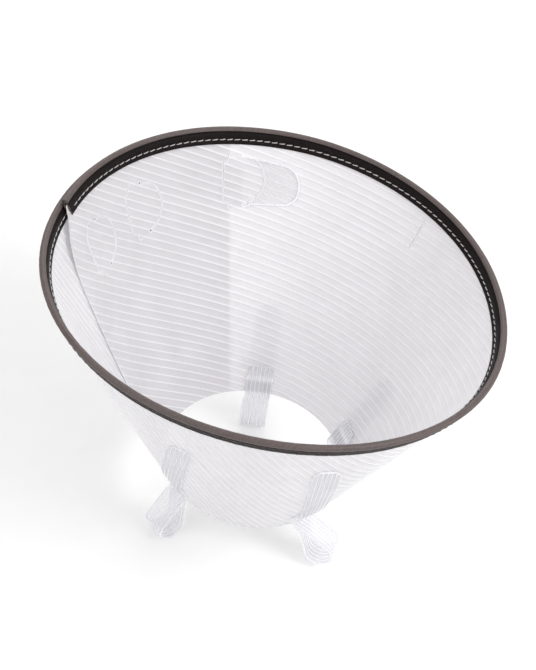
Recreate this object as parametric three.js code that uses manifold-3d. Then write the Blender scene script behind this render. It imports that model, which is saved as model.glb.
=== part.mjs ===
// Elizabethan collar: a ribbed plastic cone with a padded leatherette rim and neck straps.
// Millimetres, +Z up. The origin is the centre of the neck opening, and the mouth of the cone faces up.
// The sheet is rolled past a full turn. Its inner layer starts at the left, it runs round the right and
// the front, and it laps outside itself as far as the locking tongue.
import * as THREE from 'three';
import { mergeVertices } from 'three/addons/utils/BufferGeometryUtils.js';
import Module from 'manifold-3d';

const wasm = await Module();
wasm.setup();

// Cone sheet.
const NECK_RADIUS = 57.5;
const HALF_ANGLE = THREE.MathUtils.degToRad(25.2);
const RIM_HEIGHT = 156;
const RIM_TILT = THREE.MathUtils.degToRad(4);
const SHEET_THICKNESS = 0.8;
const CLEARANCE = 0.35;

// Angles are in degrees round +Z from +X. They fall from the sheet's inner end to its outer end.
const INNER_END_AT_NECK = 192;
const INNER_END_UNDER_RIM = 177.5;
const INNER_END_AT_RIM = 173;
const CORNER_STARTS = 0.88;
const OUTER_END = 112.5 - 360;
const TONGUE_ROOT = 103.4 - 360;
const ANGLE_STEP = 6;

// In the lap the outer layer rises a little everywhere, and the inner layer dips inwards near the rim,
// where the two bound edges lie side by side.
const LAP_STARTS = -148;
const LAP_LEAD = 3;
const LAP_GAP = 1.6;
const INNER_LAYER_DIP = -3.0;
const DIP_ENDS = 82;
const DIP_FULL = 110;
const FLARE_STARTS = 44;
const FLARE_FULL = 12;
const OUTER_RIM_STEP = 2.5;
const SHEET_ROWS = [0, 0.1, 0.3, 0.5, 0.66, 0.76, 0.82, 0.87, 0.91, 0.95, 1];

// How far the rim is pressed in at the front, and over what angles from the front this dies away.
const FRONT = -86;
const FRONT_SAG = 3.2;
const SAG_WAVES = 2.3;
const SAG_FADES = 50;
const SAG_ENDS = 110;

// Rim binding, folded over a round bead cord and stitched through.
const BINDING_LEG = 6.5;
const LEATHERETTE = 0.85;
const BEAD_CENTRE = 2.6;
const BEAD_RADIUS = 1.95;
const BEAD_HOLE_RADIUS = 1.05;
const BEAD_CORD_RADIUS = 0.7;
const STITCH_LINE = -3.5;
const THREAD_RADIUS = 0.3;
const THREAD_GAP = 0.25;

// Locking cuts, each placed by its straight cut, and a spare slit.
const CUTS = [
  { angle: 115, along: 145 },
  { angle: 149.5, along: 143 },
  { angle: 170, along: 142 },
];
const CUT_KERF = 1.2;
const STRAIGHT_CUT_LENGTH = 26;
const NOTCH_RUN = 3.5;
const ARC_OFFSET = 14.5;
const ARC_CHORD = 32;
const ARC_BULGE = 13;
const RELIEF_RADIUS = 1.6;
const SPARE_SLIT = { angle: 50, low: 135, high: 155 };

// Locking tongue.
const TONGUE_LOW = 127;
const TONGUE_HIGH = 159;
const TONGUE_TIP_ROOT = 103;
const TONGUE_TIP_LENGTH = 25;
const TONGUE_TAPER = 0.22;
const TONGUE_CORNER = 10;

// Neck straps: where each leaves the neck edge, how far up its tail reaches and how far the tail leans,
// and how far the neckband has turned the loop and swung it out.
const STRAP_WIDTH = 17;
const STRAP_THICKNESS = 0.8;
const STRAPS = [
  { angle: -138, tail: 119, lean: 25.5, twist: 0, splay: 18 },
  { angle: -48, tail: 126, lean: -19, twist: 40, splay: 38 },
  { angle: 22, tail: 62, lean: 0, twist: 0, splay: 16 },
  { angle: 94, tail: 62, lean: 0, twist: 0, splay: 16 },
];
const TAIL_TIP = 8;
const TAIL_TIP_SHARE = 0.55;
const TAIL_FOOT = -1.25;
const SLOT_ALONG = 9.5;
const SLOT_HEIGHT = 3.4;
const SLOT_PASS = 1.2;
const LOOP_TOP = -1.7;
const LOOP_RADIUS = 8.5;
const LOOP_REACH = 26;

const rad = THREE.MathUtils.degToRad;
const sinHalf = Math.sin(HALF_ANGLE);
const cosHalf = Math.cos(HALF_ANGLE);
const APEX_TO_NECK = NECK_RADIUS / sinHalf;
const HALF_SHEET = SHEET_THICKNESS / 2;
const STRAP_STAND = HALF_SHEET + CLEARANCE + STRAP_THICKNESS / 2;

// Heights off the wall that cutters span: one reaches the inner layer only, the other the outer only.
const LAYER_PARTING = 0.8;
const INSIDE_REACH = -8;
const OUTSIDE_REACH = 14;

// Places along the wall that lie past its two edges, and the angle by which trimming runs past the tongue.
const BELOW_NECK = -20;
const PAST_RIM = 220;
const TRIM_OVERRUN = 3;

// Materials.
const sheetPlastic = { color: 0xdcd9e2, roughness: 0.35, metalness: 0, transparent: true, opacity: 0.6 };
const leatherette = { color: 0x4a3f3e, roughness: 0.6, metalness: 0 };
const bead = { color: 0xe9e6e0, roughness: 0.9, metalness: 0 };
const thread = { color: 0xf2efe9, roughness: 0.8, metalness: 0 };
const darkThread = { color: 0x4c4241, roughness: 0.8, metalness: 0 };

// A point on the cone: an angle, a distance up the wall from the neck edge, and a height off the wall.
function conePoint(angle, along, off) {
  const radius = NECK_RADIUS + along * sinHalf + off * cosHalf;
  const z = along * cosHalf - off * sinHalf;
  return new THREE.Vector3(radius * Math.cos(rad(angle)), radius * Math.sin(rad(angle)), z);
}

// The rim is where a plane that leans up towards -X cuts the cone, but the outer layer's rim lies a
// little lower in the lap.
function rimAlong(angle) {
  const slope = -Math.tan(RIM_TILT) * Math.cos(rad(angle));
  const edge = (RIM_HEIGHT + slope * NECK_RADIUS) / (cosHalf - slope * sinHalf);
  return edge - OUTER_RIM_STEP * smooth(angle, LAP_STARTS, INNER_END_AT_RIM - 360);
}

function smooth(value, from, to) {
  return THREE.MathUtils.smoothstep((value - from) / (to - from), 0, 1);
}

// The sheet's inner end leans and has a rounded corner at the rim, so its angle depends on the share
// of the way up the wall.
function innerEnd(share) {
  const corner = (INNER_END_UNDER_RIM - INNER_END_AT_RIM) * smooth(share, CORNER_STARTS, 1);
  return THREE.MathUtils.lerp(INNER_END_AT_NECK, INNER_END_UNDER_RIM, share) - corner;
}

// The rim is pressed in at the front, and bulges beside that place, as a soft sheet does.
function frontSag(angle, share) {
  const turn = Math.abs(THREE.MathUtils.euclideanModulo(angle - FRONT + 180, 360) - 180);
  const wave = -Math.cos(rad(SAG_WAVES * turn)) * (1 - smooth(turn, SAG_FADES, SAG_ENDS));
  return FRONT_SAG * wave * share * share;
}

// How far the middle of the sheet stands off the plain cone: the outer layer has risen clear of the
// inner layer just before it reaches the inner end.
function sheetOffset(angle, along) {
  const edge = rimAlong(angle);
  const flare = smooth(edge - along, FLARE_STARTS, FLARE_FULL);
  const dip = INNER_LAYER_DIP * flare * smooth(angle, DIP_ENDS, DIP_FULL);
  const risen = innerEnd(along / edge) - 360 + LAP_LEAD;
  return dip + LAP_GAP * smooth(angle, LAP_STARTS, risen) + frontSag(angle, along / edge);
}

// The cone unrolls without stretch. A flat place beside a generator becomes an angle and a distance
// up the wall, and across runs towards a falling angle.
function fromFlat(centreAngle, across, along) {
  const turn = Math.atan2(across, APEX_TO_NECK + along) / sinHalf;
  const angle = centreAngle - THREE.MathUtils.radToDeg(turn);
  return { angle, along: Math.hypot(APEX_TO_NECK + along, across) - APEX_TO_NECK };
}

function steps(from, to, size) {
  const count = Math.max(1, Math.ceil(Math.abs(to - from) / size));
  return Array.from({ length: count + 1 }, (_, i) => from + ((to - from) * i) / count);
}

function xy(x, y) {
  return new THREE.Vector2(x, y);
}

function solidFromGeometry(geometry) {
  const bare = geometry.clone();
  bare.deleteAttribute('normal');
  bare.deleteAttribute('uv');
  const merged = mergeVertices(bare, 1e-4);
  const vertProperties = new Float32Array(merged.attributes.position.array);
  const triVerts = new Uint32Array(merged.index.array);
  return new wasm.Manifold(new wasm.Mesh({ numProp: 3, vertProperties, triVerts }));
}

function geometryFromSolid(solid) {
  const mesh = solid.getMesh();
  const geometry = new THREE.BufferGeometry();
  geometry.setAttribute('position', new THREE.BufferAttribute(mesh.vertProperties, 3));
  geometry.setIndex(new THREE.BufferAttribute(mesh.triVerts, 1));
  return geometry;
}

// Six times the volume that a set of triangles encloses, negative where they face inwards.
function signedVolume(points, triangles) {
  const corners = triangles.map((index) => points[index]);
  let volume = 0;
  for (let i = 0; i < corners.length; i += 3) {
    volume += corners[i].dot(new THREE.Vector3().crossVectors(corners[i + 1], corners[i + 2]));
  }
  return volume;
}

// A closed outline carried along a list of stations, with both ends capped.
function sweep(stations, section, place) {
  const count = section.length;
  const points = stations.flatMap((station) => section.map((p) => place(station, p)));
  const triangles = [];
  for (let i = 0; i < stations.length - 1; i += 1) {
    for (let j = 0; j < count; j += 1) {
      const a = i * count + j;
      const b = i * count + ((j + 1) % count);
      triangles.push(a, b, a + count, b, b + count, a + count);
    }
  }
  const last = (stations.length - 1) * count;
  const clockwise = THREE.ShapeUtils.isClockWise(section);
  for (const [a, b, c] of THREE.ShapeUtils.triangulateShape(section, [])) {
    const [first, second] = clockwise ? [c, b] : [b, c];
    triangles.push(a, second, first, last + a, last + first, last + second);
  }
  const geometry = new THREE.BufferGeometry();
  const facingOut = signedVolume(points, triangles) > 0 ? triangles : triangles.toReversed();
  geometry.setAttribute('position', new THREE.Float32BufferAttribute(points.flatMap((p) => p.toArray()), 3));
  geometry.setIndex(facingOut);
  return solidFromGeometry(geometry);
}

// An upright outline of a thin plate: shares of its length on one face, and back along the other.
function plateSection(shares, low, high) {
  return [...shares.map((share) => xy(share, high)), ...shares.toReversed().map((share) => xy(share, low))];
}

function circle(x, y, radius, count) {
  const turns = steps(0, 2 * Math.PI, (2 * Math.PI) / count).slice(0, -1);
  return turns.map((turn) => xy(x + radius * Math.cos(turn), y + radius * Math.sin(turn)));
}

function arc(x, y, radius, from, to, count) {
  return steps(0, 1, 1 / count).map((share) => {
    const turn = THREE.MathUtils.lerp(from, to, share);
    return xy(x + radius * Math.cos(turn), y + radius * Math.sin(turn));
  });
}

// A prism through the inner layer, from a flat outline beside a generator.
function punch(centreAngle, outline) {
  return sweep([INSIDE_REACH, LAYER_PARTING], outline, (off, p) => {
    const flat = fromFlat(centreAngle, p.x, p.y);
    return conePoint(flat.angle, flat.along, off);
  });
}

// A narrow cut through the inner layer, along a flat path beside a generator.
function knifeCut(centreAngle, path) {
  const half = CUT_KERF / 2;
  const section = [xy(-half, INSIDE_REACH), xy(half, INSIDE_REACH), xy(half, LAYER_PARTING), xy(-half, LAYER_PARTING)];
  return sweep(path.map((_, i) => i), section, (i, p) => {
    const before = path[Math.max(0, i - 1)];
    const after = path[Math.min(path.length - 1, i + 1)];
    const heading = after.clone().sub(before).normalize();
    const flat = fromFlat(centreAngle, path[i].x - heading.y * p.x, path[i].y + heading.x * p.x);
    return conePoint(flat.angle, flat.along, p.y);
  });
}

// One locking cut: a straight cut that turns in at both ends, and an arc between two relief holes.
function lockingCut({ angle, along }) {
  const half = STRAIGHT_CUT_LENGTH / 2;
  const straight = [
    xy(NOTCH_RUN, along - half - NOTCH_RUN),
    xy(0, along - half),
    xy(0, along),
    xy(0, along + half),
    xy(NOTCH_RUN, along + half + NOTCH_RUN),
  ];
  const radius = (ARC_CHORD * ARC_CHORD) / (8 * ARC_BULGE) + ARC_BULGE / 2;
  const halfTurn = Math.asin(ARC_CHORD / 2 / radius);
  const bow = arc(ARC_OFFSET + ARC_BULGE - radius, along, radius, -halfTurn, halfTurn, 12);
  const ends = [straight[0], straight[straight.length - 1], bow[0], bow[bow.length - 1]];
  const reliefs = ends.map((end) => punch(angle, circle(end.x, end.y, RELIEF_RADIUS, 12)));
  return [knifeCut(angle, straight), knifeCut(angle, bow), ...reliefs];
}

// A block outside the inner layer, for trimming the outer end of the sheet.
function trimBlock(low, high) {
  const section = [xy(low, LAYER_PARTING), xy(high, LAYER_PARTING), xy(high, OUTSIDE_REACH), xy(low, OUTSIDE_REACH)];
  const angles = steps(OUTER_END, TONGUE_ROOT - TRIM_OVERRUN, ANGLE_STEP);
  return sweep(angles, section, (angle, p) => conePoint(angle, p.x, p.y));
}

function strapSlot(strap) {
  const half = STRAP_WIDTH / 2 + CLEARANCE;
  const section = [
    xy(SLOT_ALONG - SLOT_HEIGHT / 2, INSIDE_REACH),
    xy(SLOT_ALONG + SLOT_HEIGHT / 2, INSIDE_REACH),
    xy(SLOT_ALONG + SLOT_HEIGHT / 2, LAYER_PARTING),
    xy(SLOT_ALONG - SLOT_HEIGHT / 2, LAYER_PARTING),
  ];
  return sweep(steps(-half, half, 4), section, (across, p) => {
    const flat = fromFlat(strap.angle, across, p.x);
    return conePoint(flat.angle, flat.along, p.y);
  });
}

function makeConeSheet() {
  const section = plateSection(SHEET_ROWS, -HALF_SHEET, HALF_SHEET);
  const turn = INNER_END_AT_RIM - TONGUE_ROOT;
  const rolled = sweep(steps(0, 1, ANGLE_STEP / turn), section, (share, p) => {
    const angle = THREE.MathUtils.lerp(innerEnd(p.x), TONGUE_ROOT, share);
    const along = rimAlong(angle) * p.x;
    return conePoint(angle, along, sheetOffset(angle, along) + p.y);
  });
  const cutters = [
    trimBlock(BELOW_NECK, TONGUE_LOW),
    trimBlock(TONGUE_HIGH, PAST_RIM),
    ...CUTS.flatMap(lockingCut),
    ...STRAPS.map(strapSlot),
    knifeCut(SPARE_SLIT.angle, [xy(0, SPARE_SLIT.low), xy(0, SPARE_SLIT.high)]),
  ];
  return cutters.reduce((solid, cutter) => solid.subtract(cutter), rolled);
}

// The rounded end of the tongue, lying on the inner face beyond its cut.
function makeTongueTip() {
  const underside = -HALF_SHEET - CLEARANCE;
  const section = plateSection(steps(-1, 1, 0.25), underside - SHEET_THICKNESS, underside);
  const middle = (TONGUE_LOW + TONGUE_HIGH) / 2;
  const halfHeight = (TONGUE_HIGH - TONGUE_LOW) / 2;
  const straight = TONGUE_TIP_LENGTH - TONGUE_CORNER;
  const stations = [...steps(0, straight, 4), ...steps(straight + 2, TONGUE_TIP_LENGTH - 0.4, 2)];
  return sweep(stations, section, (across, p) => {
    const past = Math.max(0, across - straight);
    const inset = TONGUE_CORNER - Math.sqrt(TONGUE_CORNER * TONGUE_CORNER - past * past);
    const taper = (TONGUE_TAPER * across * (1 + p.x)) / 2;
    const flat = fromFlat(TONGUE_TIP_ROOT, across, middle + p.x * (halfHeight - inset) - taper);
    return conePoint(flat.angle, flat.along, sheetOffset(flat.angle, flat.along) + p.y);
  });
}

// The folded binding in section: x runs up the wall from the sheet's edge, and y off the wall.
function bindingSection() {
  const slot = HALF_SHEET + CLEARANCE;
  const face = slot + LEATHERETTE;
  const outerTurn = Math.PI - Math.asin(face / BEAD_RADIUS);
  const holeTurn = Math.PI - Math.asin(slot / BEAD_HOLE_RADIUS);
  return [
    xy(-BINDING_LEG, slot),
    xy(-BINDING_LEG, face),
    ...arc(BEAD_CENTRE, 0, BEAD_RADIUS, outerTurn, -outerTurn, 10),
    xy(-BINDING_LEG, -face),
    xy(-BINDING_LEG, -slot),
    ...arc(BEAD_CENTRE, 0, BEAD_HOLE_RADIUS, -holeTurn, holeTurn, 6),
  ];
}

// Carries a section along the whole rim, from the sheet's inner end to its outer end.
function alongRim(section) {
  return sweep(steps(INNER_END_AT_RIM, OUTER_END, ANGLE_STEP), section, (angle, p) => {
    const edge = rimAlong(angle);
    return conePoint(angle, edge + p.x, sheetOffset(angle, edge) + p.y);
  });
}

function makeThread(side) {
  const stand = HALF_SHEET + CLEARANCE + LEATHERETTE + THREAD_GAP + THREAD_RADIUS;
  return alongRim(circle(STITCH_LINE, side * stand, THREAD_RADIUS, 5));
}

// The fixed run of a strap: up the inside from the neck edge, out through the slot, and up the wall.
function makeStrapTail(strap) {
  const wallStart = SLOT_ALONG + SLOT_PASS;
  const run = [
    { along: TAIL_FOOT, off: -STRAP_STAND, share: 1 },
    { along: SLOT_ALONG - SLOT_PASS, off: -STRAP_STAND, share: 1 },
    ...steps(wallStart, strap.tail - TAIL_TIP, 10).map((along) => ({ along, off: STRAP_STAND, share: 1 })),
    { along: strap.tail, off: STRAP_STAND, share: TAIL_TIP_SHARE },
  ];
  const half = STRAP_THICKNESS / 2;
  return sweep(run, plateSection(steps(-1, 1, 0.5), -half, half), (station, p) => {
    const drift = -Math.max(0, station.along - wallStart) * Math.tan(rad(strap.lean));
    const across = (p.x * station.share * STRAP_WIDTH) / 2 + drift;
    const flat = fromFlat(strap.angle, across, station.along);
    const off = station.off + sheetOffset(flat.angle, flat.along);
    return conePoint(flat.angle, flat.along, off + p.y);
  });
}

// A prism as wide as the strap and more, from an outline with x away from the cone's axis and y up.
function acrossStrap(outline, overrun) {
  const half = STRAP_WIDTH / 2 + overrun;
  return sweep([-half, half], outline, (depth, p) => new THREE.Vector3(p.x, depth, p.y));
}

// The loop for the animal's own neckband: a teardrop band, drawn with its pinched top at the origin.
function makeNeckLoop() {
  const half = STRAP_THICKNESS / 2;
  const lean = Math.asin(LOOP_RADIUS / LOOP_REACH);
  const bend = (radius) => arc(0, -LOOP_REACH, radius, lean, -Math.PI - lean, 20);
  const outer = [xy(half / Math.cos(lean), 0), ...bend(LOOP_RADIUS + half), xy(-half / Math.cos(lean), 0)];
  const inner = [xy(0, -half / Math.sin(lean)), ...bend(LOOP_RADIUS - half)];
  return acrossStrap(outer, 0).subtract(acrossStrap(inner, 1));
}

const collar = new THREE.Group();

function add(parent, name, geometry, look) {
  const mesh = new THREE.Mesh(geometry, new THREE.MeshStandardMaterial(look));
  mesh.name = name;
  parent.add(mesh);
  return mesh;
}

add(collar, 'cone_sheet', geometryFromSolid(makeConeSheet()), sheetPlastic);
add(collar, 'tongue_tip', geometryFromSolid(makeTongueTip()), sheetPlastic);
add(collar, 'rim_binding', geometryFromSolid(alongRim(bindingSection())), leatherette);
add(collar, 'bead_cord', geometryFromSolid(alongRim(circle(BEAD_CENTRE, 0, BEAD_CORD_RADIUS, 8))), bead);
add(collar, 'stitch_thread_inner', geometryFromSolid(makeThread(-1)), thread);
add(collar, 'stitch_thread_outer', geometryFromSolid(makeThread(1)), darkThread);

STRAPS.forEach((strap, i) => {
  add(collar, `strap_tail_${i + 1}`, geometryFromSolid(makeStrapTail(strap)), sheetPlastic);
  const hinge = conePoint(strap.angle, TAIL_FOOT, -STRAP_STAND);
  const seat = new THREE.Group();
  seat.position.set(hinge.x, hinge.y, LOOP_TOP);
  seat.rotation.z = rad(strap.angle + strap.twist);
  const loop = add(seat, `neck_loop_${i + 1}`, geometryFromSolid(makeNeckLoop()), sheetPlastic);
  loop.rotation.y = -rad(strap.splay);
  collar.add(seat);
});

export default collar;
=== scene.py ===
"""Elizabethan collar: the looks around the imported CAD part. Metres, +Z up, in the part's own frame.

The ribbed sheet, the locking tongue and the neck straps are each laid out flat, as they are cut, given
their ribs, and then bent to shape. The rim binding is swept along the sheet's edge and stitched.
"""
import math

import bmesh
import bpy
from mathutils import Matrix, Vector, noise


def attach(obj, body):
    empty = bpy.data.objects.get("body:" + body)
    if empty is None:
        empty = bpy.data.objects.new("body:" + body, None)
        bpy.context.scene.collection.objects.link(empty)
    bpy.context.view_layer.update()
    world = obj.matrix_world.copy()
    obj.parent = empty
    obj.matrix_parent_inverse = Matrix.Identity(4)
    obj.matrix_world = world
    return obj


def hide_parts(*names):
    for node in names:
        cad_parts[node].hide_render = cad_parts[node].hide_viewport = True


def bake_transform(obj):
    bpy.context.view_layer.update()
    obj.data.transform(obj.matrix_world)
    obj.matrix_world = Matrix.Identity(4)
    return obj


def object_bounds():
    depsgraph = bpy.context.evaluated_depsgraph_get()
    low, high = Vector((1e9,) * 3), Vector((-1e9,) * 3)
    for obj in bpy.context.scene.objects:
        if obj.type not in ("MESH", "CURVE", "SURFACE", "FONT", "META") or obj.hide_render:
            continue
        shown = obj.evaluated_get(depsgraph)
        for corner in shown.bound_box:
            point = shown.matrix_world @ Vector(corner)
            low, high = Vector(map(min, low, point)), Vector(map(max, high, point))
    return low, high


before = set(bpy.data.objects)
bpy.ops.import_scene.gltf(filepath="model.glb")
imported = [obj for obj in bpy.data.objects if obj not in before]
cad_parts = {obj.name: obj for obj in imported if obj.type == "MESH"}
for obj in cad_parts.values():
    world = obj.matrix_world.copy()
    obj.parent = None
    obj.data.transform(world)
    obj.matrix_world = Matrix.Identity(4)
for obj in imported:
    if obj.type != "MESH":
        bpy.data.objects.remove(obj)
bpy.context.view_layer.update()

MM = 0.001

# The cone, as the CAD part has it.
NECK_RADIUS = 57.5 * MM
HALF_ANGLE = math.radians(25.2)
RIM_HEIGHT = 156 * MM
RIM_TILT = math.radians(4)
SHEET_THICKNESS = 0.8 * MM
CLEARANCE = 0.35 * MM
SIN_HALF = math.sin(HALF_ANGLE)
COS_HALF = math.cos(HALF_ANGLE)
APEX_TO_NECK = NECK_RADIUS / SIN_HALF

# Angles are in degrees round +Z from +X. They fall from the sheet's inner end to its outer end.
INNER_END_AT_NECK = 192
INNER_END_UNDER_RIM = 177.5
INNER_END_AT_RIM = 173
CORNER_STARTS = 0.88
OUTER_END = 112.5 - 360
LAP_STARTS = -148
LAP_LEAD = 3
LAP_GAP = 1.6 * MM
INNER_LAYER_DIP = -3.0 * MM
DIP_ENDS = 82
DIP_FULL = 110
FLARE_STARTS = 44 * MM
FLARE_FULL = 12 * MM
OUTER_RIM_STEP = 2.5 * MM
FRONT = -86
FRONT_SAG = 3.2 * MM
SAG_WAVES = 2.3
SAG_FADES = 50
SAG_ENDS = 110


def cone_point(angle, along, off):
    """A point at an angle, a distance up the wall from the neck edge, and a height off the wall."""
    radius = NECK_RADIUS + along * SIN_HALF + off * COS_HALF
    turn = math.radians(angle)
    return Vector((radius * math.cos(turn), radius * math.sin(turn), along * COS_HALF - off * SIN_HALF))


def rim_along(angle):
    """Where a plane that leans up towards -X cuts the cone, a little lower on the outer layer of the lap."""
    slope = -math.tan(RIM_TILT) * math.cos(math.radians(angle))
    edge = (RIM_HEIGHT + slope * NECK_RADIUS) / (COS_HALF - slope * SIN_HALF)
    return edge - OUTER_RIM_STEP * smooth(angle, LAP_STARTS, INNER_END_AT_RIM - 360)


def lerp(low, high, share):
    return low + (high - low) * share


def smooth(value, start, end):
    share = min(1.0, max(0.0, (value - start) / (end - start)))
    return share * share * (3 - 2 * share)


def steps(start, end, size):
    count = max(1, math.ceil(abs(end - start) / size - 1e-9))
    return [lerp(start, end, i / count) for i in range(count + 1)]


def inner_end(share):
    """The angle of the sheet's inner end at a share of the way up the wall."""
    corner = (INNER_END_UNDER_RIM - INNER_END_AT_RIM) * smooth(share, CORNER_STARTS, 1)
    return lerp(INNER_END_AT_NECK, INNER_END_UNDER_RIM, share) - corner


def front_sag(angle, share):
    """The rim is pressed in at the front, and bulges beside that place, as a soft sheet does."""
    turn = abs((angle - FRONT + 180) % 360 - 180)
    wave = -math.cos(math.radians(SAG_WAVES * turn)) * (1 - smooth(turn, SAG_FADES, SAG_ENDS))
    return FRONT_SAG * wave * share * share


def sheet_offset(angle, along):
    """How far the middle of the sheet stands off the plain cone."""
    edge = rim_along(angle)
    flare = smooth(edge - along, FLARE_STARTS, FLARE_FULL)
    dip = INNER_LAYER_DIP * flare * smooth(angle, DIP_ENDS, DIP_FULL)
    risen = inner_end(along / edge) - 360 + LAP_LEAD
    return dip + LAP_GAP * smooth(angle, LAP_STARTS, risen) + front_sag(angle, along / edge)


def flat_spot(angle, along):
    """Where a point of the sheet lies when the sheet is unrolled flat, with the cone's apex at the origin."""
    turn = math.radians(angle) * SIN_HALF
    reach = APEX_TO_NECK + along
    return Vector((reach * math.cos(turn), reach * math.sin(turn)))


def rolled_spot(x, y):
    """The angle and the distance up the wall of a flat spot."""
    return math.degrees(math.atan2(y, x)) / SIN_HALF, math.hypot(x, y) - APEX_TO_NECK


def beside(centre_angle, across, along):
    """A flat spot beside a generator: across runs towards a falling angle."""
    turn = math.radians(centre_angle) * SIN_HALF
    reach = APEX_TO_NECK + along
    outward = Vector((math.cos(turn), math.sin(turn)))
    return outward * reach + Vector((outward.y, -outward.x)) * across


# ---------------------------------------------------------------- materials


def new_material(name):
    """A material with one Principled shader, and its node tree."""
    material = bpy.data.materials.new(name)
    material.use_nodes = True
    tree = material.node_tree
    return material, tree, tree.nodes["Principled BSDF"]


def object_noise(tree, scale, detail, roughness=0.5):
    """Noise fixed to the object, so that it doesn't depend on UVs."""
    place = tree.nodes.new("ShaderNodeTexCoord")
    texture = tree.nodes.new("ShaderNodeTexNoise")
    texture.inputs["Scale"].default_value = scale
    texture.inputs["Detail"].default_value = detail
    texture.inputs["Roughness"].default_value = roughness
    tree.links.new(place.outputs["Object"], texture.inputs["Vector"])
    return texture.outputs["Fac"]


def ramp(tree, factor, stops):
    """A colour ramp from (position, colour) stops."""
    node = tree.nodes.new("ShaderNodeValToRGB")
    elements = node.color_ramp.elements
    while len(elements) < len(stops):
        elements.new(0.5)
    for element, (position, colour) in zip(elements, stops):
        element.position = position
        element.color = (*colour, 1)
    tree.links.new(factor, node.inputs["Fac"])
    return node.outputs["Color"]


def number_range(tree, factor, low, high):
    """Maps 0..1 to low..high."""
    node = tree.nodes.new("ShaderNodeMapRange")
    node.inputs["To Min"].default_value = low
    node.inputs["To Max"].default_value = high
    tree.links.new(factor, node.inputs["Value"])
    return node.outputs["Result"]


def bump(tree, shader, height, strength, distance):
    """Fine relief that is too small to be geometry."""
    node = tree.nodes.new("ShaderNodeBump")
    node.inputs["Strength"].default_value = strength
    node.inputs["Distance"].default_value = distance
    tree.links.new(height, node.inputs["Height"])
    tree.links.new(node.outputs["Normal"], shader.inputs["Normal"])


def plastic(name, pale, deep, low_alpha, high_alpha, roughness, grain_depth=0.15 * MM):
    """Milky polypropylene: clear enough to see through, with a faint cloudiness and a fine extruded grain."""
    material, tree, shader = new_material(name)
    cloud = object_noise(tree, 38, 3)
    tree.links.new(ramp(tree, cloud, [(0.3, deep), (0.7, pale)]), shader.inputs["Base Color"])
    tree.links.new(number_range(tree, cloud, low_alpha, high_alpha), shader.inputs["Alpha"])
    grain = object_noise(tree, 900, 2)
    tree.links.new(number_range(tree, grain, roughness - 0.06, roughness + 0.06), shader.inputs["Roughness"])
    bump(tree, shader, grain, 0.25, grain_depth)
    shader.inputs["IOR"].default_value = 1.49
    return material


def leather(name, dark, light, worn, gloss):
    """Leatherette: pebbled grain with fine creases, and a little wear where the grain stands up."""
    material, tree, shader = new_material(name)
    place = tree.nodes.new("ShaderNodeTexCoord")
    cells = tree.nodes.new("ShaderNodeTexVoronoi")
    cells.feature = "SMOOTH_F1"
    cells.inputs["Scale"].default_value = 1100
    tree.links.new(place.outputs["Object"], cells.inputs["Vector"])
    tone = object_noise(tree, 60, 4, 0.6)
    colour = tree.nodes.new("ShaderNodeMix")
    colour.data_type = "RGBA"
    tree.links.new(cells.outputs["Distance"], colour.inputs["Factor"])
    tree.links.new(ramp(tree, tone, [(0.3, dark), (0.7, light)]), colour.inputs["A"])
    colour.inputs["B"].default_value = (*worn, 1)
    tree.links.new(colour.outputs["Result"], shader.inputs["Base Color"])
    tree.links.new(number_range(tree, tone, 0.42, 0.6), shader.inputs["Roughness"])
    bump(tree, shader, cells.outputs["Distance"], 0.5, 0.25 * MM)
    shader.inputs["Specular IOR Level"].default_value = gloss
    return material


def twisted_thread(name, dark, light, scale):
    """Spun fibre: fine bands and fuzz."""
    material, tree, shader = new_material(name)
    place = tree.nodes.new("ShaderNodeTexCoord")
    bands = tree.nodes.new("ShaderNodeTexWave")
    bands.inputs["Scale"].default_value = scale
    bands.inputs["Distortion"].default_value = 1.5
    bands.bands_direction = "DIAGONAL"
    tree.links.new(place.outputs["Object"], bands.inputs["Vector"])
    tree.links.new(ramp(tree, bands.outputs["Fac"], [(0.0, dark), (0.8, light)]), shader.inputs["Base Color"])
    tree.links.new(number_range(tree, bands.outputs["Fac"], 0.85, 0.6), shader.inputs["Roughness"])
    bump(tree, shader, bands.outputs["Fac"], 0.6, 0.1 * MM)
    shader.inputs["Sheen Weight"].default_value = 0.3
    return material


WEB = plastic("sheet_web", (0.86, 0.845, 0.87), (0.82, 0.805, 0.83), 0.60, 0.66, 0.3)
# The tongue is cut from the same plastic as the sheet. Its paler, clearer copies are painted light that
# offsets the shade falling on the tongue and on the wall behind it.
TONGUE_WEB_PAINTED_LIGHT = plastic("tongue_web_painted_light", (0.93, 0.92, 0.94), (0.89, 0.88, 0.90), 0.20, 0.26, 0.3)
TONGUE_RIB_PAINTED_LIGHT = plastic("tongue_rib_painted_light", (0.95, 0.94, 0.96), (0.91, 0.90, 0.92), 0.28, 0.34, 0.3)
RIB = plastic("sheet_rib", (0.96, 0.95, 0.97), (0.92, 0.91, 0.93), 0.74, 0.82, 0.24)
# The cut edges and lips are near-white and nearly opaque. This is a painted highlight for the glint along the
# cut edges of the clear sheet.
CUT_EDGE_PAINTED_HIGHLIGHT = plastic("cut_edge_painted_highlight", (0.97, 0.97, 0.99), (0.94, 0.94, 0.97), 0.9, 0.97, 0.3)
STRAP_WEB = plastic("strap_web", (0.88, 0.88, 0.92), (0.83, 0.84, 0.88), 0.26, 0.32, 0.34, 0.02 * MM)
STRAP_RIB = plastic("strap_rib", (0.95, 0.95, 0.98), (0.90, 0.90, 0.94), 0.46, 0.54, 0.34, 0.02 * MM)
TAUPE = leather(
    "binding_bead_leather", (0.060, 0.042, 0.041), (0.092, 0.068, 0.065), (0.135, 0.105, 0.10), 0.5
)
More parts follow.
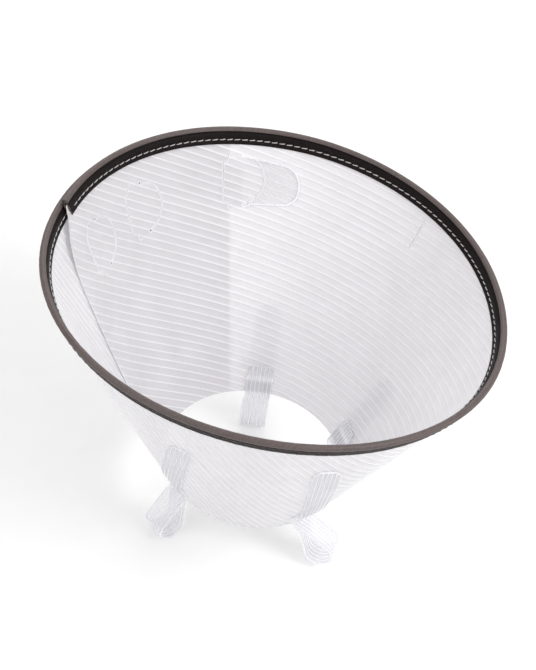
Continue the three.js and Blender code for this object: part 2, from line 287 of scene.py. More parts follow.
# The outer leg is the bead's taupe leather, darkened as painted shade because the leg faces down, away from
# the light.
TAUPE_PAINTED_SHADE = leather(
    "binding_outer_leg_painted_shade", (0.010, 0.007, 0.007), (0.018, 0.013, 0.013), (0.034, 0.026, 0.026), 0.12
)
NEAR_BLACK = leather(
    "binding_inner_leather", (0.004, 0.002, 0.003), (0.009, 0.006, 0.006), (0.016, 0.012, 0.012), 0.09
)
WHITE_THREAD = twisted_thread("white_thread", (0.42, 0.40, 0.40), (0.74, 0.72, 0.71), 900)
BROWN_THREAD = twisted_thread("brown_thread", (0.03, 0.022, 0.02), (0.075, 0.055, 0.05), 900)
CORD_FIBRE = twisted_thread("piping_cord_fibre", (0.05, 0.04, 0.036), (0.12, 0.1, 0.09), 500)


# ---------------------------------------------------------------- ribbed plates

RIB_PITCH = 4.9 * MM
RIB_HEADING = math.radians(116)
RIB_FOOT = 0.46 * MM
RIB_HEIGHT = 0.30 * MM
RIB_SHOULDER = 0.5
RIB_SHOULDER_HEIGHT = 0.73
RIB_BACK_SHARE = 0.6
SAME_SPOT = 1e-6


class Ribs:
    """Straight parallel ribs on a flat sheet."""

    def __init__(self, heading, pitch, foot, height):
        self.normal = Vector((-math.sin(heading), math.cos(heading)))
        self.pitch = pitch
        self.foot = foot
        self.top = height

    def place(self, spot):
        return spot.dot(self.normal)

    def marks(self, low, high):
        """The places between low and high where a rib has its feet, its shoulders or its crest."""
        first = math.floor(low / self.pitch) - 1
        last = math.ceil(high / self.pitch) + 1
        parts = (-1, -RIB_SHOULDER, 0, RIB_SHOULDER, 1)
        found = [k * self.pitch + part * self.foot for k in range(first, last + 1) for part in parts]
        return [mark for mark in found if low + SAME_SPOT < mark < high - SAME_SPOT]

    def from_crest(self, spot):
        """How far a spot lies from the middle of the nearest rib."""
        place = self.place(spot)
        return abs(place - self.pitch * round(place / self.pitch))

    def height(self, spot):
        """How high the rib stands at a spot: a rounded crest with sloping feet."""
        gap = self.from_crest(spot) / self.foot
        if gap < RIB_SHOULDER:
            return self.top * lerp(1, RIB_SHOULDER_HEIGHT, gap / RIB_SHOULDER)
        return self.top * max(0.0, RIB_SHOULDER_HEIGHT * (1 - gap) / (1 - RIB_SHOULDER))


def split(polygon, ribs, mark):
    """The two parts of a flat polygon on either side of a line along the ribs."""
    below, above = [], []
    for spot, after in zip(polygon, polygon[1:] + polygon[:1]):
        here, there = ribs.place(spot) - mark, ribs.place(after) - mark
        (below if here <= 0 else above).append(spot)
        if (here <= 0) != (there <= 0):
            crossing = spot.lerp(after, here / (here - there))
            below.append(crossing)
            above.append(crossing)
    return below, above


def sliced(polygon, ribs):
    """A flat polygon cut along every rib line that crosses it."""
    places = [ribs.place(spot) for spot in polygon]
    parts = []
    for mark in ribs.marks(min(places), max(places)):
        below, polygon = split(polygon, ribs, mark)
        parts.append(below)
    return [*parts, polygon]


def flat_plate(name, spots, ribs, thickness, looks):
    """A closed flat plate with raised ribs over a grid of flat spots, given as columns of rows.

    looks holds the materials of the web, of the ribs and of the cut edges.
    """
    bm = bmesh.new()
    half = thickness / 2
    for left, right in zip(spots, spots[1:]):
        for i in range(len(left) - 1):
            cell = [left[i], right[i], right[i + 1], left[i + 1]]
            for part in sliced(cell, ribs):
                corners = [bm.verts.new((spot.x, spot.y, 0)) for spot in part]
                bm.faces.new(corners)
    bmesh.ops.remove_doubles(bm, verts=bm.verts, dist=SAME_SPOT)
    bmesh.ops.dissolve_degenerate(bm, edges=bm.edges, dist=SAME_SPOT)
    bmesh.ops.recalc_face_normals(bm, faces=bm.faces)
    if sum(face.normal.z for face in bm.faces) < 0:
        bmesh.ops.reverse_faces(bm, faces=bm.faces)
    for face in bm.faces:
        face.material_index = int(ribs.from_crest(face.calc_center_median().xy) < ribs.foot)
    border = [edge for edge in bm.edges if edge.is_boundary]
    back = bmesh.ops.duplicate(bm, geom=bm.verts[:] + bm.edges[:] + bm.faces[:])
    twin = back["vert_map"]
    back_faces = [part for part in back["geom"] if isinstance(part, bmesh.types.BMFace)]
    bmesh.ops.reverse_faces(bm, faces=back_faces)
    for edge in border:
        a, b = edge.verts
        wall = bm.faces.new((a, b, twin[b], twin[a]))
        wall.material_index = 2
    back_verts = {vert for face in back_faces for vert in face.verts}
    for vert in bm.verts:
        rib = ribs.height(vert.co.xy)
        vert.co.z = -half - rib * RIB_BACK_SHARE if vert in back_verts else half + rib
    bmesh.ops.recalc_face_normals(bm, faces=bm.faces)
    return mesh_object(name, bm, looks)


def mesh_object(name, bm, looks):
    mesh = bpy.data.meshes.new(name)
    for look in looks:
        mesh.materials.append(look)
    bm.to_mesh(mesh)
    bm.free()
    piece = bpy.data.objects.new(name, mesh)
    bpy.context.scene.collection.objects.link(piece)
    return piece


def cut_away(piece, cutters):
    """Cuts every cutter out of a piece, and puts the finished mesh on it."""
    for cutter in cutters:
        modifier = piece.modifiers.new("cut", "BOOLEAN")
        modifier.operation = "DIFFERENCE"
        modifier.solver = "MANIFOLD"
        modifier.object = cutter
    shown = piece.evaluated_get(bpy.context.evaluated_depsgraph_get())
    finished = bpy.data.meshes.new_from_object(shown)
    piece.modifiers.clear()
    piece.data = finished
    for cutter in cutters:
        bpy.data.objects.remove(cutter)


STEEP_WALL = 0.3


def bend(piece, place):
    """Bends a flat plate to shape. Walls that stand up in the flat plate are cut edges, and get the
    near-white painted highlight.
    """
    bm = bmesh.new()
    bm.from_mesh(piece.data)
    bm.normal_update()
    for face in bm.faces:
        if abs(face.normal.z) < STEEP_WALL:
            face.material_index = 2
    for vert in bm.verts:
        vert.co = place(*vert.co)
    bmesh.ops.recalc_face_normals(bm, faces=bm.faces)
    bm.to_mesh(piece.data)
    bm.free()
    piece.data.shade_smooth()
    piece.data.set_sharp_from_angle(angle=math.radians(50))
    return piece


# ---------------------------------------------------------------- cone sheet

COLUMN_STEP = 4.5
SHEET_ROWS = (0, 0.12, 0.28, 0.44, 0.6, 0.72, 0.8, 0.86, 0.9, 0.94, 0.97, 1)
TONGUE_SEAM = 108.5 - 360
TONGUE_LOW = 127 * MM
TONGUE_HIGH = 159 * MM
CUTS = ((115, 145 * MM), (149.5, 143 * MM), (170, 142 * MM))
KERF = 0.3 * MM
LIP_WIDTH = 0.5 * MM
LIP_HEIGHT = 0.12 * MM
STRAIGHT_HALF = 13 * MM
ARC_OFFSET = 14.5 * MM
ARC_CHORD = 32 * MM
ARC_BULGE = 13 * MM
RELIEF_RADIUS = 0.9 * MM
SPARE_SLIT = (50, 135 * MM, 155 * MM)
STRAP_WIDTH = 17 * MM

# Each strap: its place round the neck, the length of its tail in mm, how far the tail leans, how far the
# loop is turned and swung out, and the side that its barb is on. The angles are in degrees.
STRAPS = (
    {"angle": -138, "tail": 119, "lean": 25.5, "twist": 0, "splay": 18, "barb": -1},
    {"angle": -48, "tail": 126, "lean": -19, "twist": 40, "splay": 38, "barb": 1},
    {"angle": 22, "tail": 62, "lean": 0, "twist": 0, "splay": 16, "barb": 1},
    {"angle": 94, "tail": 62, "lean": 0, "twist": 0, "splay": 16, "barb": -1},
)
SLOT_ALONG = 9.5 * MM
SLOT_HEIGHT = 3.2 * MM
CUTTER_REACH = 3 * MM
PAST_SEAM = 4
BELOW_SHEET = -20 * MM
ABOVE_SHEET = 220 * MM


def prism(outline):
    """A cutter through a flat plate, from a closed flat outline."""
    bm = bmesh.new()
    corners = [bm.verts.new((spot.x, spot.y, -CUTTER_REACH)) for spot in outline]
    bottom = bm.faces.new(corners)
    raised = bmesh.ops.extrude_face_region(bm, geom=[bottom])["geom"]
    top = [part for part in raised if isinstance(part, bmesh.types.BMVert)]
    bmesh.ops.translate(bm, verts=top, vec=(0, 0, 2 * CUTTER_REACH))
    bmesh.ops.recalc_face_normals(bm, faces=bm.faces)
    cutter = mesh_object("cutter", bm, [])
    cutter.hide_render = True
    return cutter


def shifted(centre_angle, path, shift):
    """Flat spots on a line beside a path, which is given as (across, along) beside a generator."""
    line = []
    for i, here in enumerate(path):
        before = Vector(path[max(0, i - 1)])
        after = Vector(path[min(len(path) - 1, i + 1)])
        heading = (after - before).normalized()
        side = Vector((-heading.y, heading.x)) * shift
        line.append(beside(centre_angle, *(Vector(here) + side)))
    return line


def knife(centre_angle, path, width):
    """A narrow cutter along a path."""
    left = shifted(centre_angle, path, width / 2)
    right = shifted(centre_angle, path, -width / 2)
    return prism(left + right[::-1])


def circle_path(centre, radius):
    turns = [2 * math.pi * k / 16 for k in range(17)]
    return [(centre[0] + math.cos(t) * radius, centre[1] + math.sin(t) * radius) for t in turns]


def add_lip(bm, left, right):
    """A raised lip between two lines of flat spots, where the die left the edge burred; its near-white colour
    is a painted highlight along the cut.
    """
    top = SHEET_THICKNESS / 2 + LIP_HEIGHT
    rings = []
    for a, b in zip(left, right):
        corners = ((a, -top), (a, top), (b, top), (b, -top))
        rings.append([bm.verts.new((spot.x, spot.y, z)) for spot, z in corners])
    for here, after in zip(rings, rings[1:]):
        for k in range(4):
            side = (here[k], here[(k + 1) % 4], after[(k + 1) % 4], after[k])
            bm.faces.new(side).material_index = 2
    for end in (rings[0], rings[-1]):
        bm.faces.new(end).material_index = 2


def add_lips(piece, lips):
    """Adds lips to a flat piece: each is a centre angle, a path, and how far its two sides lie off it."""
    bm = bmesh.new()
    bm.from_mesh(piece.data)
    for centre_angle, path, near, far in lips:
        add_lip(bm, shifted(centre_angle, path, near), shifted(centre_angle, path, far))
    bm.to_mesh(piece.data)
    bm.free()


def locking_paths(along):
    """The lines of a locking cut: a straight cut that hooks in at both ends, an arc, and relief holes."""
    hook = [(2.4, 1.2), (3.4, 2.6), (3.2, 4.4), (4.6, 5.8), (6.4, 5.4)]
    upper = [(x * MM, along + STRAIGHT_HALF + y * MM) for x, y in hook]
    lower = [(x * MM, along - STRAIGHT_HALF - y * MM) for x, y in hook]
    straight = [(0, along + share * STRAIGHT_HALF) for share in (-1, -0.5, 0, 0.5, 1)]
    radius = ARC_CHORD**2 / (8 * ARC_BULGE) + ARC_BULGE / 2
    half_turn = math.asin(ARC_CHORD / 2 / radius)
    centre = ARC_OFFSET + ARC_BULGE - radius
    turns = [lerp(-half_turn, half_turn, k / 18) for k in range(19)]
    bow = [(centre + radius * math.cos(t), along + radius * math.sin(t)) for t in turns]
    holes = [(ARC_OFFSET - 0.8 * MM, along + side * (ARC_CHORD / 2 + 0.6 * MM)) for side in (-1, 1)]
    return lower[::-1] + straight + upper, bow, [circle_path(hole, RELIEF_RADIUS) for hole in holes]


def locking_cut(angle, along):
    line, bow, holes = locking_paths(along)
    discs = [prism([beside(angle, *spot) for spot in hole[:-1]]) for hole in holes]
    return [knife(angle, line, KERF), knife(angle, bow, KERF), *discs]


def strap_slot(strap):
    half = STRAP_WIDTH / 2 + CLEARANCE
    path = [(lerp(-half, half, k / 6), SLOT_ALONG) for k in range(7)]
    return knife(strap["angle"], path, SLOT_HEIGHT)


def spare_slit_path():
    """The line of the one spare slit, which no strap uses."""
    _, low, high = SPARE_SLIT
    return [(0, low), (0, (low + high) / 2), (0, high)]


def sheet_cutters():
    cutters = [cutter for cut in CUTS for cutter in locking_cut(*cut)]
    cutters += [strap_slot(strap) for strap in STRAPS]
    cutters.append(knife(SPARE_SLIT[0], spare_slit_path(), KERF))
    return cutters


def sheet_lips():
    """The lips along both sides of every cut, and round the relief holes."""
    lips = []
    near, far = KERF / 2, KERF / 2 + LIP_WIDTH
    for angle, along in CUTS:
        line, bow, holes = locking_paths(along)
        for path in (line, bow):
            lips += [(angle, path, near, far), (angle, path, -near, -far)]
        lips += [(angle, hole, 0, -LIP_WIDTH) for hole in holes]
    slit = spare_slit_path()
    lips += [(SPARE_SLIT[0], slit, near, far), (SPARE_SLIT[0], slit, -near, -far)]
    return lips


SHEET_RIBS = Ribs(RIB_HEADING, RIB_PITCH, RIB_FOOT, RIB_HEIGHT)


def end_block(low, high):
    """A cutter over the sheet's outer end, beside the tongue."""
    angles = steps(OUTER_END, TONGUE_SEAM - PAST_SEAM, 2)
    foot = [flat_spot(angle, low) for angle in angles]
    head = [flat_spot(angle, high) for angle in angles]
    return prism(foot + head[::-1])


def make_cone_sheet():
    """The sheet without its tongue: laid flat, ribbed, cut, and rolled past a full turn."""
    turn = INNER_END_AT_RIM - TONGUE_SEAM
    spots = []
    for share in steps(0, 1, COLUMN_STEP / turn):
        column = []
        for row in SHEET_ROWS:
            angle = lerp(inner_end(row), TONGUE_SEAM, share)
            column.append(flat_spot(angle, rim_along(angle) * row))
        spots.append(column)
    sheet = flat_plate("ribbed_cone_sheet", spots, SHEET_RIBS, SHEET_THICKNESS, (WEB, RIB, CUT_EDGE_PAINTED_HIGHLIGHT))
    blocks = [end_block(BELOW_SHEET, TONGUE_LOW), end_block(TONGUE_HIGH, ABOVE_SHEET)]
    cut_away(sheet, blocks + sheet_cutters())
    add_lips(sheet, sheet_lips())

    def place(x, y, z):
        angle, along = rolled_spot(x, y)
        return cone_point(angle, along, sheet_offset(angle, along) + z)

    bend(sheet, place)
    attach(sheet, "collar")
    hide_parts("cone_sheet")
    return sheet


# ---------------------------------------------------------------- locking tongue

TONGUE_TIP_ROOT = 103 - 360
TONGUE_TIP_LENGTH = 25 * MM
TONGUE_TAPER = 0.22
TONGUE_CORNER = 10 * MM
TONGUE_WAIST = 2.7 * MM
TONGUE_WAIST_FROM = -10 * MM
TONGUE_WAIST_AT = -5 * MM
THREADING_RUN = (-6 * MM, 1.5 * MM)
SEAM_RUN = 4 * MM
TONGUE_BACK = -9.5 * MM
TONGUE_ROWS = 12
SEAM_GAP = 0.02 * MM
SEAM_GAP_TURN = 0.02


def past_arc(angle, along):
    """How far a place on the sheet lies past the arc of the locking cut that the tongue goes through."""
    cut_angle, cut_along = CUTS[0]
    spot = flat_spot(angle + 360 - cut_angle, along)
    radius = ARC_CHORD**2 / (8 * ARC_BULGE) + ARC_BULGE / 2
    centre = ARC_OFFSET + ARC_BULGE - radius
    return math.hypot(-spot.y - centre, spot.x - APEX_TO_NECK - cut_along) - radius


def tongue_place(x, y, z):
    """The tongue leaves the outer layer, goes in through the arc cut, and lies on the inner face."""
    angle, along = rolled_spot(x, y)
    outside = sheet_offset(angle, along)
    inside = sheet_offset(angle + 360, along) - SHEET_THICKNESS - CLEARANCE
    from_seam = math.radians(TONGUE_SEAM - angle) * SIN_HALF * (APEX_TO_NECK + along)
    threaded = smooth(past_arc(angle, along), *THREADING_RUN) * smooth(from_seam, 0, SEAM_RUN)
    return cone_point(angle, along, lerp(outside, inside, threaded) + z)


def make_tongue():
    """The tip of the sheet's outer end, a strip with rounded corners and a waist where it is threaded."""
    middle = (TONGUE_LOW + TONGUE_HIGH) / 2
    half_height = (TONGUE_HIGH - TONGUE_LOW) / 2
    straight = TONGUE_TIP_LENGTH - TONGUE_CORNER
    rows = [k / TONGUE_ROWS for k in range(TONGUE_ROWS + 1)]
    seam_low, seam_high = TONGUE_LOW + SEAM_GAP, TONGUE_HIGH - SEAM_GAP
    edges_low, edges_high = [], []
    spots = [[flat_spot(TONGUE_SEAM - SEAM_GAP_TURN, lerp(seam_low, seam_high, row)) for row in rows]]
    columns = steps(TONGUE_BACK, straight, 2 * MM)
    columns += steps(straight + 1 * MM, TONGUE_TIP_LENGTH - 0.2 * MM, 1 * MM)
    for across in columns:
        past = max(0.0, across - straight)
        inset = TONGUE_CORNER - math.sqrt(TONGUE_CORNER**2 - past**2)
        waist = TONGUE_WAIST * smooth(across, TONGUE_WAIST_FROM, TONGUE_WAIST_AT)
        low = middle - half_height + inset + waist
        high = middle + half_height - inset - TONGUE_TAPER * max(0.0, across)
        spots.append([beside(TONGUE_TIP_ROOT, across, lerp(low, high, row)) for row in rows])
        edges_low.append((across, low))
        edges_high.append((across, high))
    # The tongue's paler, clearer plastic is painted light against the shade between the tongue and the wall.
    looks = (TONGUE_WEB_PAINTED_LIGHT, TONGUE_RIB_PAINTED_LIGHT, CUT_EDGE_PAINTED_HIGHLIGHT)
    tongue = flat_plate("locking_tongue", spots, SHEET_RIBS, SHEET_THICKNESS, looks)
    outline = edges_low + [(TONGUE_TIP_LENGTH, middle - 3 * MM), (TONGUE_TIP_LENGTH, middle + 3 * MM)]
    outline += edges_high[::-1]
    add_lips(tongue, [(TONGUE_TIP_ROOT, outline, -LIP_WIDTH, LIP_WIDTH)])
    bend(tongue, tongue_place)
    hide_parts("tongue_tip")
    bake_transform(tongue)


# ---------------------------------------------------------------- neck straps

STRAP_THICKNESS = 0.8 * MM
STRAP_STAND = SHEET_THICKNESS / 2 + CLEARANCE + STRAP_THICKNESS / 2
STRAP_RIBS = Ribs(math.radians(90), 2.8 * MM, 0.34 * MM, 0.08 * MM)
TAIL_FOOT = -1.25 * MM
TAIL_TIP = 8 * MM
TAIL_TIP_SHARE = 0.55
WALL_START = 10.7 * MM
LOOP_TOP = -1.7 * MM
LOOP_RADIUS = 8.5 * MM
LOOP_REACH = 26 * MM
LOOP_LEAN = math.asin(LOOP_RADIUS / LOOP_REACH)
LEG_LENGTH = LOOP_REACH * math.cos(LOOP_LEAN)
BEND_LENGTH = LOOP_RADIUS * (math.pi + 2 * LOOP_LEAN)
LOOP_LENGTH = 2 * LEG_LENGTH + BEND_LENGTH
PINCH = 0.55 * MM
PINCH_RUN = 9 * MM
NECK_BEND = (-0.5 * MM, 7 * MM)
TAB_LENGTH = 20 * MM
TAB_STAND = -STRAP_STAND - 1.1 * MM
BARB_REACH = 7 * MM
BARB_FOOT = 15 * MM
BARB_TOP = 31 * MM
THREADED = (12.5 * MM, 6.5 * MM)
BENT_STEP = 0.8 * MM
STRAP_COLUMNS = 6


def wall_spot(strap, across, along, off):
    """A point of a strap that lies along the wall."""
    drift = -max(0.0, along - WALL_START) * math.tan(math.radians(strap["lean"]))
    x, y = beside(strap["angle"], across + drift, along)
    angle, along = rolled_spot(x, y)
    return cone_point(angle, along, off + sheet_offset(angle, along))


def loop_outline(run):
    """The loop drawn flat: x away from the cone's axis and y up, at a distance run from its pinched top."""
    if run < LEG_LENGTH:
        x, y = run * math.sin(LOOP_LEAN), -run * math.cos(LOOP_LEAN)
    elif run < LEG_LENGTH + BEND_LENGTH:
        turn = LOOP_LEAN - (run - LEG_LENGTH) / LOOP_RADIUS
        x, y = LOOP_RADIUS * math.cos(turn), LOOP_RADIUS * math.sin(turn) - LOOP_REACH
    else:
        left = LOOP_LENGTH - run
        x, y = -left * math.sin(LOOP_LEAN), -left * math.cos(LOOP_LEAN)
    apart = smooth(min(run, LOOP_LENGTH - run), PINCH_RUN, 0) * PINCH
    return x + math.copysign(apart, LOOP_LENGTH / 2 - run), y


def loop_spot(strap, across, run):
    """A point of the loop, swung out and turned as the neckband holds it."""
    x, y = loop_outline(run)
    splay = math.radians(strap["splay"])
    out = x * math.cos(splay) - y * math.sin(splay)
    up = x * math.sin(splay) + y * math.cos(splay)
    hinge = cone_point(strap["angle"], TAIL_FOOT, -STRAP_STAND)
    turn = math.radians(strap["angle"] + strap["twist"])
    outward = Vector((math.cos(turn), math.sin(turn), 0))
    sideways = Vector((math.sin(turn), -math.cos(turn), 0))
    return Vector((hinge.x, hinge.y, LOOP_TOP)) + outward * out + sideways * across + Vector((0, 0, up))


def strap_middle(strap, across, run):
    """The middle of a strap at a distance run along it: first its tail, then its loop, then its tab."""
    tail = strap["tail"] * MM
    if run < LOOP_LENGTH / 2:
        along = min(TAIL_FOOT - run, tail)
        threaded = smooth(along, *THREADED)
        upper = wall_spot(strap, across, along, lerp(STRAP_STAND, -STRAP_STAND, threaded))
        share = smooth(run, *NECK_BEND)
    else:
        past = run - LOOP_LENGTH
        upper = wall_spot(strap, across, TAIL_FOOT + past, TAB_STAND)
        share = smooth(-past, *NECK_BEND)
    return upper if share == 0 else upper.lerp(loop_spot(strap, across, run), share)


def strap_place(strap, x, run, z):
    """A point of the bent strap, at a height z square to its middle surface."""
    probe = 0.05 * MM
    middle = strap_middle(strap, x, run)
    across = strap_middle(strap, x + probe, run) - strap_middle(strap, x - probe, run)
    down = strap_middle(strap, x, run + probe) - strap_middle(strap, x, run - probe)
    return middle + across.cross(down).normalized() * z


def strap_edges(strap, run):
    """The two edges of a strap at a distance run from the neck edge, with the barb above the slot."""
    half = STRAP_WIDTH / 2
    along = TAIL_FOOT - run
    if run > LOOP_LENGTH:
        half *= lerp(1, 0.8, smooth(run - LOOP_LENGTH, TAB_LENGTH - 4 * MM, TAB_LENGTH))
    if along > strap["tail"] * MM - TAIL_TIP:
        half *= lerp(1, TAIL_TIP_SHARE, (along - strap["tail"] * MM + TAIL_TIP) / TAIL_TIP)
    barb = 0.0
    if BARB_FOOT <= along < BARB_TOP:
        barb = BARB_REACH * (1 - smooth(along, BARB_FOOT, BARB_TOP))
    low, high = -half, half
    return (low - barb, high) if strap["barb"] < 0 else (low, high + barb)


def strap_runs(tail):
    """Where a strap has its rows: close together at the barb and where it bends."""
    tip = TAIL_FOOT - tail
    barb_run = TAIL_FOOT - BARB_FOOT
    runs = steps(tip, tip + TAIL_TIP, 2 * MM)[:-1]
    runs += steps(tip + TAIL_TIP, TAIL_FOOT - BARB_TOP, 6 * MM)[:-1]
    runs += steps(TAIL_FOOT - BARB_TOP, barb_run, 2 * MM)
    runs += steps(barb_run + BENT_STEP / 2, LEG_LENGTH - 4 * MM, BENT_STEP)
    runs += steps(LEG_LENGTH - 3.2 * MM, LOOP_LENGTH - LEG_LENGTH, 1 * MM)[:-1]
    runs += steps(LOOP_LENGTH - LEG_LENGTH, LOOP_LENGTH - PINCH_RUN, 2 * MM)[:-1]
    return runs + steps(LOOP_LENGTH - PINCH_RUN, LOOP_LENGTH + TAB_LENGTH, BENT_STEP)


def make_strap(number, strap):
    """One strip: its tail on the wall, its loop below the neck edge, and its tab inside the wall."""
    runs = strap_runs(strap["tail"] * MM)
    edges = [strap_edges(strap, run) for run in runs]
    shares = [k / STRAP_COLUMNS for k in range(STRAP_COLUMNS + 1)]
    spots = [[Vector((lerp(*edge, share), run)) for run, edge in zip(runs, edges)] for share in shares]
    name = f"neck_strap_{number}"
    piece = flat_plate(name, spots, STRAP_RIBS, STRAP_THICKNESS, (STRAP_WEB, STRAP_RIB, CUT_EDGE_PAINTED_HIGHLIGHT))
    bend(piece, lambda x, y, z: strap_place(strap, x, y, z))
    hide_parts(f"strap_tail_{number}", f"neck_loop_{number}")
    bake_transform(piece)


# ---------------------------------------------------------------- rim binding and its stitches

BINDING_SLOT = SHEET_THICKNESS / 2 + CLEARANCE
LEATHER_THICKNESS = 0.85 * MM
BINDING_FACE = BINDING_SLOT + LEATHER_THICKNESS
BINDING_LEG = 6.5 * MM
BEAD_CENTRE = 2.6 * MM
BEAD_RADIUS = 1.95 * MM
BEAD_HOLE_RADIUS = 1.05 * MM
CREASE_DEPTH = 0.42 * MM
DARK_FROM = math.radians(102)
STITCH_LINE = -3.5 * MM
STITCH_PERIOD = 2.18
STITCH_LENGTH = 0.8
STITCH_RADIUS = 0.27 * MM
STITCH_SLANT = 0.22 * MM
STITCH_SUNK = 0.45 * MM
STITCH_RISE = 0.55 * MM
STITCH_TAPER = 0.45
PLY_SWELL = 0.14
PLY_TWIST = 9
GROOVE_HALF = 0.9 * MM
WRINKLE_DEPTH = 0.16 * MM
WRINKLES_ROUND = 95
BINDING_STEP = STITCH_PERIOD / 4
STITCH_COUNT = int((INNER_END_AT_RIM - OUTER_END) / STITCH_PERIOD) - 1


def rim_place(angle, x, y):
    """A point beside the rim: x up the wall from the sheet's edge, and y off the sheet."""
    edge = rim_along(angle)
    return cone_point(angle, edge + x, sheet_offset(angle, edge) + y)


def leg_outline():
    """The outer skin of one leg of the binding, from its cut edge to the crease beside the bead."""
    rounded = [(-BINDING_LEG - 0.1 * MM, BINDING_SLOT + 0.3 * MM), (-BINDING_LEG, BINDING_FACE - 0.25 * MM)]
    crest = BEAD_CENTRE - math.sqrt(BEAD_RADIUS**2 - (BINDING_FACE - CREASE_DEPTH) ** 2)
    outline = [(-BINDING_LEG, BINDING_SLOT), *rounded]
    for x in steps(-BINDING_LEG + 0.3 * MM, crest - 0.7 * MM, 0.55 * MM):
        pillow = 0.18 * MM * math.sin(math.pi * smooth(x, STITCH_LINE, crest))
        outline.append((x, BINDING_FACE + pillow))
    outline.append((crest - 0.3 * MM, BINDING_FACE - 0.25 * MM))
    outline.append((crest, BINDING_FACE - CREASE_DEPTH))
    return outline


def binding_outline():
    """The binding's section as places and the leather at each: 0 on the bead, 1 inside, 2 outside, which is
    the bead's taupe darkened as painted shade.
    """
    leg = leg_outline()
    turn = math.pi - math.asin((BINDING_FACE - CREASE_DEPTH) / BEAD_RADIUS)
    bead = [lerp(turn, -turn, k / 26) for k in range(1, 26)]
    hole_turn = math.pi - math.asin(BINDING_SLOT / BEAD_HOLE_RADIUS)
    hole = [lerp(-hole_turn, hole_turn, k / 8) for k in range(9)]
    outline = [(x, y, 2) for x, y in leg]
    for t in bead:
        look = 1 if t < -DARK_FROM else 0
        outline.append((BEAD_CENTRE + BEAD_RADIUS * math.cos(t), BEAD_RADIUS * math.sin(t), look))
    outline += [(x, -y, 1) for x, y in reversed(leg)]
    for t in hole:
        outline.append((BEAD_CENTRE + BEAD_HOLE_RADIUS * math.cos(t), BEAD_HOLE_RADIUS * math.sin(t), 1))
    return outline


def pulled_in(angle, x, y):
    """The leather near the stitch line is pulled in, most where a stitch goes down into its hole."""
    gap = abs(x - STITCH_LINE)
    if gap > GROOVE_HALF or abs(y) < BINDING_SLOT + 0.2 * MM:
        return 0.0
    beat = (INNER_END_AT_RIM - angle) / STITCH_PERIOD
    in_hole = 0.5 + 0.5 * math.cos(2 * math.pi * beat)
    return (1 - smooth(gap, 0, GROOVE_HALF)) * lerp(0.22, 0.42, in_hole) * MM


def crumple(angle, x, y):
    """Small wrinkles where the leather is drawn round the bead."""
    turn = math.radians(angle)
    spot = Vector((math.cos(turn), math.sin(turn), 0)) * WRINKLES_ROUND
    spot.z = (x * 0.35 + y * 0.6) / MM
    swell = noise.noise(spot * 0.45) * 0.5 + noise.noise(spot) * 0.5
    on_skin = abs(y) > BINDING_SLOT + 0.1 * MM or x > BEAD_CENTRE + BEAD_HOLE_RADIUS
    return swell * WRINKLE_DEPTH if on_skin else 0.0


def leather_place(angle, x, y):
    """A point of the binding's skin, with its wrinkles and its stitch grooves."""
    side = math.copysign(1, y)
    lift = crumple(angle, x, y) - pulled_in(angle, x, y)
    return rim_place(angle, x, y + side * lift)


def make_binding():
    """The folded strip, swept along the whole edge of the sheet."""
    outline = binding_outline()
    angles = steps(INNER_END_AT_RIM, OUTER_END, BINDING_STEP)
    bm = bmesh.new()
    rings = [[bm.verts.new(leather_place(angle, x, y)) for x, y, _ in outline] for angle in angles]
    count = len(outline)
    for here, after in zip(rings, rings[1:]):
        for j in range(count):
            k = (j + 1) % count
            face = bm.faces.new((here[j], here[k], after[k], after[j]))
            face.material_index = outline[j][2] if outline[j][2] == outline[k][2] else 0
    bm.faces.new(rings[0])
    bm.faces.new(rings[-1])
    bmesh.ops.recalc_face_normals(bm, faces=bm.faces)
    binding = mesh_object("folded_rim_binding", bm, (TAUPE, NEAR_BLACK, TAUPE_PAINTED_SHADE))
    binding.data.shade_smooth()
    binding.data.set_sharp_from_angle(angle=math.radians(60))
    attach(binding, "collar")
    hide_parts("rim_binding")


def add_stitch(bm, angle, side):
    """One stitch of two-ply thread, which rises out of one hole and goes down into the next."""
    rings = []
    stations, sides = 12, 10
    for i in range(stations + 1):
        share = i / stations
        way = 2 * share - 1
        here = angle - way * STITCH_PERIOD * STITCH_LENGTH / 2
        height = BINDING_FACE - STITCH_SUNK + STITCH_RISE * (1 - way**4)
        radius = STITCH_RADIUS * (1 - STITCH_TAPER * way**6)
        x = STITCH_LINE + STITCH_SLANT * way
        centre = rim_place(here, x, side * height)
        up = (rim_place(here, x, side * (height + 1 * MM)) - centre).normalized()
        wide = (rim_place(here, x + 1 * MM, side * height) - centre).normalized()
        ring = []
        for k in range(sides):
            turn = 2 * math.pi * k / sides
            ply = 1 + PLY_SWELL * math.cos(2 * turn - PLY_TWIST * share)
            spot = centre + (up * math.sin(turn) + wide * math.cos(turn)) * radius * ply
            ring.append(bm.verts.new(spot))
        rings.append(ring)
    for here, after in zip(rings, rings[1:]):
        for k in range(sides):
            bm.faces.new((here[k], here[(k + 1) % sides], after[(k + 1) % sides], after[k]))
    bm.faces.new(rings[0])
    bm.faces.new(rings[-1])


def make_stitches(name, node, side, look):
    """A row of separate stitches: side is -1 on the inner leg of the binding and 1 on the outer leg."""
    bm = bmesh.new()
    for k in range(1, STITCH_COUNT + 1):
        add_stitch(bm, INNER_END_AT_RIM - (k + 0.5) * STITCH_PERIOD, side)
    bmesh.ops.recalc_face_normals(bm, faces=bm.faces)
    row = mesh_object(name, bm, [look])
    row.data.shade_smooth()
    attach(row, "collar")
    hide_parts(node)


# ---------------------------------------------------------------- camera, stage and light

LIGHTS_AIM = Vector((0, 0, 0.08))
FLOOR_RADIUS = 6


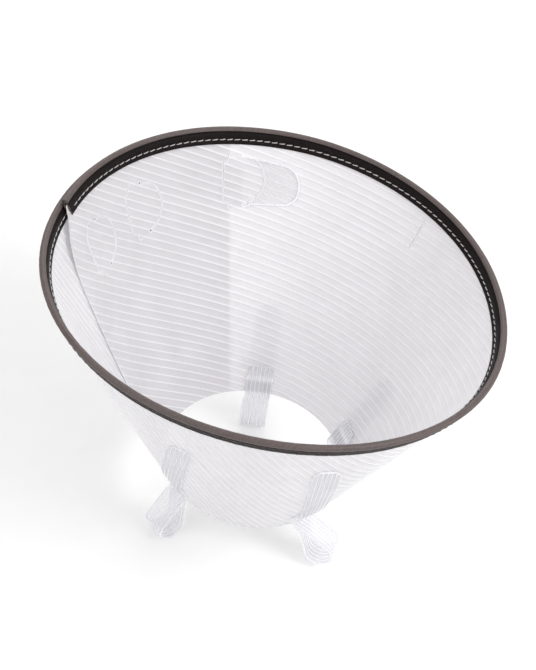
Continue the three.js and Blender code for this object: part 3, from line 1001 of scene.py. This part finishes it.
def make_camera():
    """Looks down at the front of the collar, a little rolled."""
    elevation = math.radians(44.19)
    roll = math.radians(10.41)
    target = Vector((-0.0042, 0.0326, 0.0780))
    distance = 0.937
    data = bpy.data.cameras.new("camera")
    data.lens = 80.6
    data.sensor_width = 36
    camera = bpy.data.objects.new("camera", data)
    bpy.context.scene.collection.objects.link(camera)
    back = Vector((0, -math.cos(elevation), math.sin(elevation)))
    camera.location = target + back * distance
    upright = (-back).to_track_quat("-Z", "Y").to_matrix()
    camera.rotation_euler = (upright @ Matrix.Rotation(roll, 3, "Z")).to_euler()
    bpy.context.scene.camera = camera


def area_light(name, place, size, power):
    """A soft round light that points at the middle of the collar."""
    data = bpy.data.lights.new(name, "AREA")
    data.shape = "DISK"
    data.size = size
    data.energy = power
    light = bpy.data.objects.new(name, data)
    light.location = place
    light.rotation_euler = (LIGHTS_AIM - Vector(place)).to_track_quat("-Z", "Y").to_euler()
    bpy.context.scene.collection.objects.link(light)


def make_stage():
    """A wide pale paper floor just below the part, and soft studio light."""
    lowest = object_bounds()[0].z
    bm = bmesh.new()
    bmesh.ops.create_circle(bm, cap_ends=True, radius=FLOOR_RADIUS, segments=96)
    floor = mesh_object("floor", bm, [])
    floor.location.z = lowest - 1 * MM
    material, tree, shader = new_material("floor_paper")
    fibre = object_noise(tree, 30, 3)
    greys = [(0.3, (0.93, 0.93, 0.93)), (0.7, (0.95, 0.95, 0.95))]
    tree.links.new(ramp(tree, fibre, greys), shader.inputs["Base Color"])
    shader.inputs["Roughness"].default_value = 0.9
    floor.data.materials.append(material)
    world = bpy.data.worlds.new("studio")
    world.use_nodes = True
    sky = world.node_tree.nodes["Background"]
    sky.inputs["Color"].default_value = (1.0, 0.995, 0.99, 1)
    sky.inputs["Strength"].default_value = 0.76
    bpy.context.scene.world = world
    bpy.context.scene.view_settings.view_transform = "Standard"
    area_light("key", (0.95, -0.35, 1.1), size=0.8, power=9)
    area_light("fill", (-0.8, -0.8, 1.0), size=0.9, power=3)
    area_light("back", (-0.2, 1.1, 0.9), size=0.8, power=4)


make_camera()
make_stage()
make_cone_sheet()
make_tongue()
for number, strap in enumerate(STRAPS, 1):
    make_strap(number, strap)
make_binding()
make_stitches("inner_stitch_row", "stitch_thread_inner", -1, WHITE_THREAD)
make_stitches("outer_stitch_row", "stitch_thread_outer", 1, BROWN_THREAD)

# The cord keeps the CAD's shape and gets a spun look.
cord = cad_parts["bead_cord"]
cord.data.materials.clear()
cord.data.materials.append(CORD_FIBRE)
